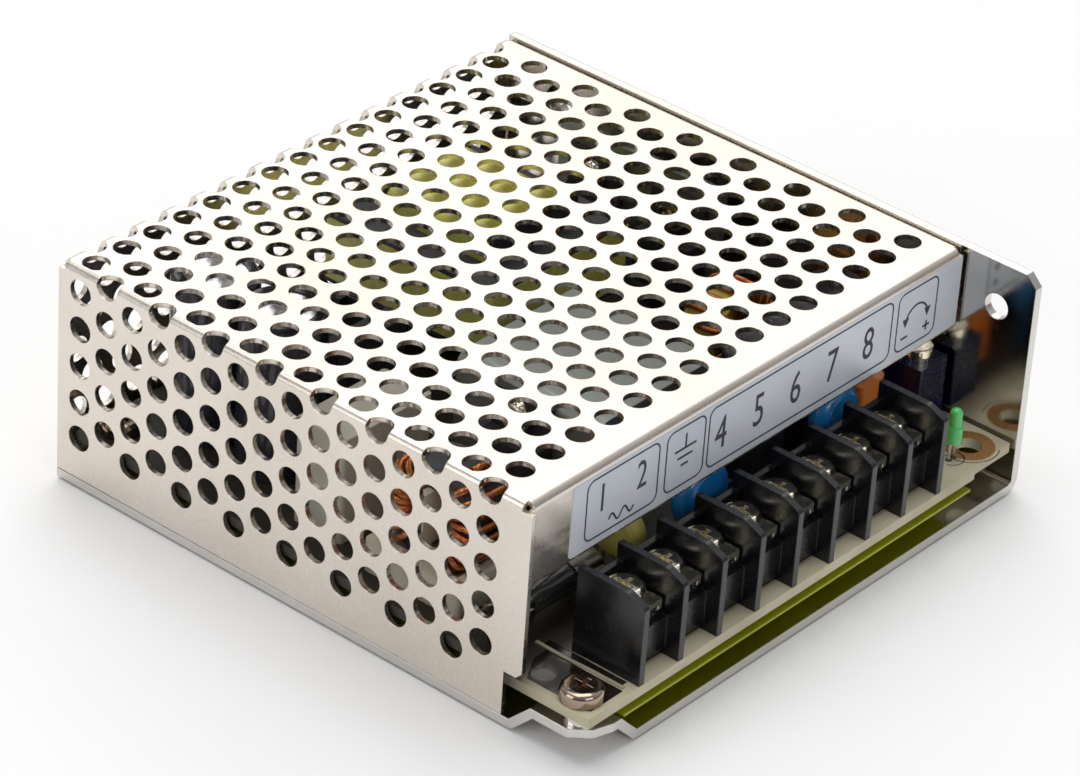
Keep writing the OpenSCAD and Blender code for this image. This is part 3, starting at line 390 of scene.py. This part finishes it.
def band(bm, path, width, place, depth, closed=False):
    """A flat line of the given width along (u, v) points, in metres."""
    pts = [Vector((u, v, 0)) for u, v in path]
    n = len(pts)
    left, right_side = [], []
    for i, p in enumerate(pts):
        a = pts[(i - 1) % n] if closed or i else p
        b = pts[(i + 1) % n] if closed or i < n - 1 else p
        d = (b - a).normalized()
        side = Vector((-d.y, d.x, 0)) * width / 2
        left.append(p + side)
        right_side.append(p - side)
    rows = [[bm.verts.new(place @ (q + Vector((0, 0, h)))) for q in line]
            for line, h in ((left, 0), (left, depth), (right_side, depth), (right_side, 0))]
    for i in range(n if closed else n - 1):
        j = (i + 1) % n
        for a, b in ((0, 1), (1, 2), (2, 3), (3, 0)):
            bm.faces.new((rows[a][i], rows[a][j], rows[b][j], rows[b][i]))
    if not closed:
        bm.faces.new([r[0] for r in rows])
        bm.faces.new([r[-1] for r in rows][::-1])


def mm2(points):
    """Points in millimetres, turned into metres."""
    return [(u * MM, v * MM) for u, v in points]


def rounded_frame(x0, x1, z0, z1, r=1.3):
    """A rectangle's outline with round corners, in mm."""
    return mm2(arc(x1 - r, z1 - r, r, 0, 90, 5) + arc(x0 + r, z1 - r, r, 90, 180, 5)
               + arc(x0 + r, z0 + r, r, 180, 270, 5) + arc(x1 - r, z0 + r, r, 270, 360, 5))


bm = bmesh.new()
for x0, x1 in FRAMES_X:
    band(bm, rounded_frame(x0, x1, FRAME_LOW, FRAME_HIGH), 0.26 * MM, LABEL_AT, INK, closed=True)
piece("label_frames", bm, PRINT)

bm = bmesh.new()
for z, half in EARTH_BARS:
    band(bm, mm2([(EARTH_X - half, z), (EARTH_X + half, z)]), STROKE, LABEL_AT, INK)
band(bm, mm2([(EARTH_X, 30.6), (EARTH_X, 32.9)]), STROKE, LABEL_AT, INK)
piece("label_earth_sign", bm, PRINT)

bm = bmesh.new()
wave = [(WAVE_X + 2.6 * (t / 12 - 1), WAVE_Z + 0.7 * math.sin(math.pi * t / 6)) for t in range(25)]
band(bm, mm2(wave), 0.3 * MM, LABEL_AT, INK)
piece("label_wave_sign", bm, PRINT)

bm = bmesh.new()
band(bm, mm2(arc(TURN_X, TURN_Z, TURN_R, 25, 155, 14)), 0.32 * MM, LABEL_AT, INK)
for s in (-1, 1):
    x, z = TURN_X + s * (TURN_R - 0.05), TURN_Z + 0.3
    slab(bm, mm2([(x - 0.75, z + 0.8), (x, z - 0.7), (x + 0.75, z + 0.8)]), INK, LABEL_AT)
for x in (MINUS_X, PLUS_X):
    band(bm, mm2([(x - 0.8, SIGN_Z), (x + 0.8, SIGN_Z)]), STROKE, LABEL_AT, INK)
band(bm, mm2([(PLUS_X, SIGN_Z - 0.8), (PLUS_X, SIGN_Z + 0.8)]), STROKE, LABEL_AT, INK)
piece("label_turn_sign", bm, PRINT)


def numeral(text, x, z, high, narrow, place, name, mat, depth=INK):
    """A plain number as a mesh, centred at (x, z) mm, high mm tall and narrowed by a factor."""
    cu = bpy.data.curves.new(name, "FONT")
    cu.body = text
    cu.extrude = 0.5
    cu.resolution_u = 3
    o = bpy.data.objects.new(name, cu)
    scene.collection.objects.link(o)
    dg = bpy.context.evaluated_depsgraph_get()
    me = bpy.data.meshes.new_from_object(o.evaluated_get(dg))
    bpy.data.objects.remove(o)
    bpy.data.curves.remove(cu)
    co = [v.co.copy() for v in me.vertices]
    low = Vector(map(min, *co))
    high_c = Vector(map(max, *co))
    size = high_c - low
    wide = high * narrow * size.x / size.y
    for v in me.vertices:
        p = v.co - low
        v.co = place @ Vector(((x + (p.x / size.x - 0.5) * wide) * MM,
                               (z + (p.y / size.y - 0.5) * high) * MM, p.z / size.z * depth))
    return piece(name, me, mat)


EARTH_POLE = 3
for k in range(1, 9):
    if k == EARTH_POLE:
        continue
    x = centre(f"terminal_screw_{k}").x / MM
    z, high, shift = (30.6, 4.4, 0.2) if k < EARTH_POLE else (29.5, 5.2, 0.6)
    numeral(str(k), x + shift, z, high, 0.72, LABEL_AT, f"label_number_{k}", PRINT)


# ---------- wound wire ----------


def wound(bm, at, along, bore, outer, thick, wire, start, span, turns):
    """One layer of round wire over part of a ring; along is 'x' or 'y', the ring's axis."""
    mid = (bore + outer) / 2
    half_r = (outer - bore) / 2 + wire
    half_t = thick / 2 + wire
    steps = 20
    square = 0.5
    pts = []
    for i in range(turns * steps + 1):
        t = 2 * math.pi * i / steps
        a = math.radians(start + span * i / (turns * steps))
        c, s = math.cos(t), math.sin(t)
        r = mid + half_r * math.copysign(abs(c) ** square, c)
        w = half_t * math.copysign(abs(s) ** square, s)
        u, v = r * math.cos(a), r * math.sin(a)
        p = Vector((w, u, v)) if along == "x" else Vector((u, w, v))
        pts.append((p + at) * MM)
    tube(bm, pts, wire * MM, 8)


choke = centre("choke_core") / MM
bm = bmesh.new()
for start in (-62, 118):
    wound(bm, choke, "x", bore=4.4, outer=7.9, thick=7, wire=0.55, start=start, span=124, turns=9)
coil = piece("choke_wire", bm, COPPER)
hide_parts("choke_windings")
out_choke = centre("output_choke_core") / MM
bm = bmesh.new()
wound(bm, out_choke, "y", bore=3.6, outer=6.8, thick=6.6, wire=0.5, start=-50, span=280, turns=15)
lead_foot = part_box("output_choke_winding")[0].z / MM
for s in (-1, 1):
    x, y = out_choke.x + s * 3, out_choke.y + s * 4.2
    tube(bm, [Vector((x, y, z)) * MM for z in (lead_foot, 9, 13)], 0.45 * MM, 8)
coil = piece("output_choke_wire", bm, COPPER)
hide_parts("output_choke_winding")

# ---------- board print, pads and painted shade ---

board_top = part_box("circuit_board")[1].z
BOARD_AT = Matrix.Translation((0, 0, board_top))
PRINT_T = 0.03 * MM
OPEN_HOLE = (41.6, -45.0)
LAMP = (37.1, -45.2)
TRIMMER_MARK = (39.3, 46.2, -37.6, -30.2)
FILM_CAP_MARK = (30.3, 37.7, -33.4, -27.8)


def disc_ring(bm, cx, cy, r0, r1, place, depth, n=40):
    """A flat ring between two radii, in mm."""
    band(bm, mm2(arc(cx, cy, (r0 + r1) / 2, 0, 360 * (n - 1) / n, n - 1)), (r1 - r0) * MM,
         place, depth, closed=True)


bm = bmesh.new()
disc_ring(bm, *OPEN_HOLE, 2.02, 3.9, BOARD_AT, PRINT_T)
piece("board_pads", bm, PAD)
bm = bmesh.new()
# Painted shade: the corner slab lies over the earth pad and is near-black as a painted dark reflection
# and the case's shade; the strip beside the terminal block is the painted shadow of the block and the
# left wall
slab(bm, mm2([(-47.3, -37.6), (-47.3, -48.0), (-46.9, -48.5), (-40.4, -48.5), (-40.4, -35.2),
              (-43.0, -35.2)]), PRINT_T, BOARD_AT)
slab(bm, mm2([(-39.7, -34.0), (-39.7, -47.6), (-38.4, -47.6), (-38.4, -34.0)]), PRINT_T, BOARD_AT)
piece("board_painted_shade_pads", bm, PAINTED_SHADE_PAD)
bm = bmesh.new()
band(bm, mm2([(-40.05, -33.0), (-40.2, -37.8), (-39.95, -42.2), (-39.9, -48.2)]), 0.55 * MM,
     BOARD_AT, 0.22 * MM)
piece("board_ridge", bm, RIDGE)
bm = bmesh.new()
band(bm, mm2(arc(*OPEN_HOLE, 4.5, 60, 300, 20)), 0.22 * MM, BOARD_AT, INK)
band(bm, mm2(arc(*LAMP, 1.9, 200, 520, 20)), 0.2 * MM, BOARD_AT, INK)
for x0, x1, y0, y1 in (TRIMMER_MARK, FILM_CAP_MARK):
    band(bm, mm2([(x0, y0), (x1, y0), (x1, y1), (x0, y1)]), 0.2 * MM, BOARD_AT, INK, closed=True)
band(bm, mm2([(33.6, -39.2), (35.4, -39.2), (33.6, -41.4), (35.4, -41.4)]), 0.22 * MM, BOARD_AT, INK)
piece("board_marks", bm, SILK)

# ---------- camera ----------

cam = bpy.data.objects.new("camera", bpy.data.cameras.new("camera"))
scene.collection.objects.link(cam)
scene.camera = cam
forward = Vector((0.66152, 0.52641, -0.53413)).normalized()
right = Vector((0.65050, -0.75718, 0.05941)).normalized()
up = right.cross(forward).normalized()
right = forward.cross(up)
rot = Matrix((right, up, -forward)).transposed().to_4x4()
cam.matrix_world = Matrix.Translation((-0.4721, -0.3744, 0.3966)) @ rot
cam.data.lens = 166.9
cam.data.sensor_width = 36
cam.data.clip_start = 0.01
cam.data.clip_end = 20

# ---------- floor and light ----------

me = bpy.data.meshes.new("floor")
half = 3
me.from_pydata([(-half, -half, 0), (half, -half, 0), (half, half, 0), (-half, half, 0)], [],
               [(0, 1, 2, 3)])
floor = bpy.data.objects.new("floor", me)
scene.collection.objects.link(floor)
me.materials.append(dressed("floor_paper", (0.86, 0.86, 0.86), (0.90, 0.90, 0.90), 20, (0.8, 0.9),
                            (0.05, 0.0001), 0.0))
floor.location.z = lo0.z - 0.0004

world = bpy.data.worlds.new("studio")
scene.world = world
world.use_nodes = True
wn = world.node_tree
wn.nodes.clear()
out = wn.nodes.new("ShaderNodeOutputWorld")
bg = wn.nodes.new("ShaderNodeBackground")
geo = wn.nodes.new("ShaderNodeTexCoord")
sep = wn.nodes.new("ShaderNodeSeparateXYZ")
ramp = wn.nodes.new("ShaderNodeValToRGB")
wn.links.new(geo.outputs["Generated"], sep.inputs[0])
wn.links.new(sep.outputs["Z"], ramp.inputs[0])
ramp.color_ramp.elements[0].position = 0.0
ramp.color_ramp.elements[0].color = (0.35, 0.35, 0.36, 1)
ramp.color_ramp.elements[1].position = 0.9
ramp.color_ramp.elements[1].color = (0.95, 0.95, 0.96, 1)
side = wn.nodes.new("ShaderNodeVectorMath")
side.operation = "DOT_PRODUCT"
side.inputs[1].default_value = (0.78, 0.62, 0)
wn.links.new(geo.outputs["Generated"], side.inputs[0])
# the room is brighter beyond the right rear corner, so the opening at the front stays dark
level = wn.nodes.new("ShaderNodeMapRange")
for i, v in enumerate((-1.0, 1.0, 0.30, 0.85)):
    level.inputs[1 + i].default_value = v
wn.links.new(side.outputs["Value"], level.inputs[0])
wn.links.new(ramp.outputs[0], bg.inputs[0])
wn.links.new(level.outputs[0], bg.inputs[1])
wn.links.new(bg.outputs[0], out.inputs[0])


def area_light(name, at, size, power, tint=(1, 1, 1)):
    """A soft rectangle of light, turned to the object's middle."""
    data = bpy.data.lights.new(name, "AREA")
    data.shape = "RECTANGLE"
    data.size, data.size_y = size
    data.energy = power
    data.color = tint
    o = bpy.data.objects.new(name, data)
    scene.collection.objects.link(o)
    o.location = at
    o.rotation_mode = "QUATERNION"
    o.rotation_quaternion = (Vector((0, 0, 0.02)) - Vector(at)).to_track_quat("-Z", "Y")


area_light("sheen", (0.95, 0.76, 0.80), (1.7, 1.0), 6, (1.0, 0.97, 0.93))
area_light("above", (0.05, 0.15, 1.1), (1.0, 1.0), 7)
area_light("left", (-0.75, 0.25, 0.35), (0.5, 0.5), 1.5)
area_light("front", (-0.2, -0.9, 0.5), (0.6, 0.3), 1.2)

scene.view_settings.view_transform = "Standard"
